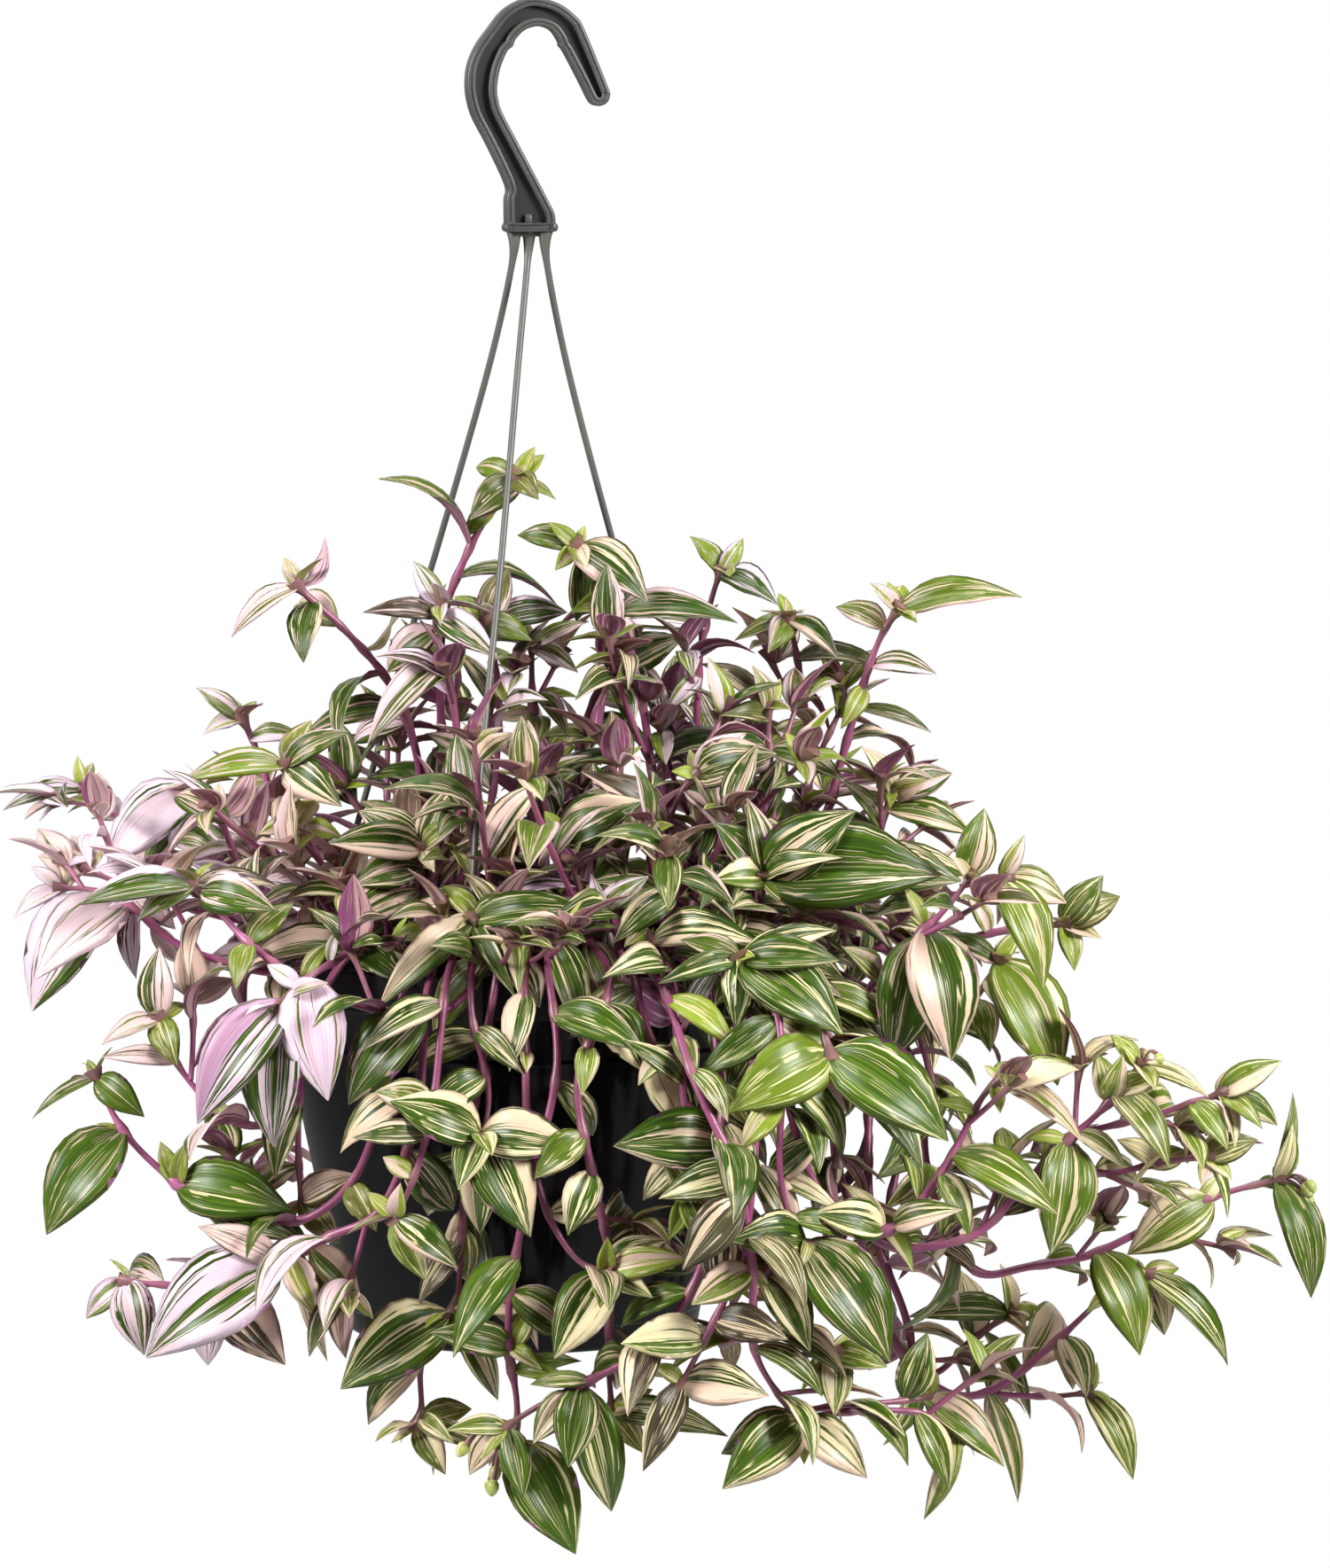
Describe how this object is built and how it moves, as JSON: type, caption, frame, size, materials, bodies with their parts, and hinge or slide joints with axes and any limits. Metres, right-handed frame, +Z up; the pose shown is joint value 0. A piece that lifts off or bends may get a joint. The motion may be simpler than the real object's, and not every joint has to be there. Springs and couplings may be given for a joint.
{
  "type": "potted tradescantia",
  "caption": "Tradescantia with striped green, cream and pink leaves, trailing from a black plastic pot that hangs on a hook.",
  "frame": {"origin": "inner crown of the hook, where a rail or nail carries the hanging pot", "axes": "+Z up along the pot axis, +X to the right and -Y towards the viewer in the pictured view"},
  "size_m": [0.4372, 0.3216, 0.4934],
  "materials": {
    "pot_plastic": "gloss",
    "hanger_plastic": "matte",
    "soil": "matte",
    "foliage": "satin"
  },
  "bodies": {
    "root": {"pot": "pot_plastic", "hanger": "hanger_plastic", "soil": "soil", "cluster_left": "foliage", "cluster_middle": "foliage", "cluster_right": "foliage", "pair_front": "foliage", "shoot_up_1": "foliage", "shoot_up_10": "foliage", "shoot_up_11": "foliage", "shoot_up_2": "foliage", "shoot_up_3": "foliage", "shoot_up_4": "foliage", "shoot_up_5": "foliage", "shoot_up_6": "foliage", "shoot_up_8": "foliage", "shoot_up_9": "foliage", "shoot_up_left": "foliage", "shoot_up_right": "foliage", "star_front": "foliage", "stem_back_1": "foliage", "stem_back_2": "foliage", "stem_back_3": "foliage", "stem_back_4": "foliage", "stem_back_5": "foliage", "stem_back_6": "foliage", "stem_back_7": "foliage", "stem_front_1": "foliage", "stem_front_10": "foliage", "stem_front_11": "foliage", "stem_front_2": "foliage", "stem_front_3": "foliage", "stem_front_4": "foliage", "stem_front_5": "foliage", "stem_front_6": "foliage", "stem_front_7": "foliage", "stem_front_8": "foliage", "stem_front_9": "foliage", "stem_left_big": "foliage", "stem_left_dark": "foliage", "stem_left_low": "foliage", "stem_left_low_2": "foliage", "stem_left_magenta": "foliage", "stem_left_mid": "foliage", "stem_left_pink": "foliage", "stem_left_star": "foliage", "stem_left_top": "foliage", "stem_left_up": "foliage", "stem_purple_fold": "foliage", "stem_right_2": "foliage", "stem_right_3": "foliage", "stem_right_big": "foliage", "stem_right_buds": "foliage", "stem_right_far": "foliage", "stem_right_flower": "foliage", "stem_right_low": "foliage", "stem_right_mid": "foliage"}
  },
  "joints": []
}
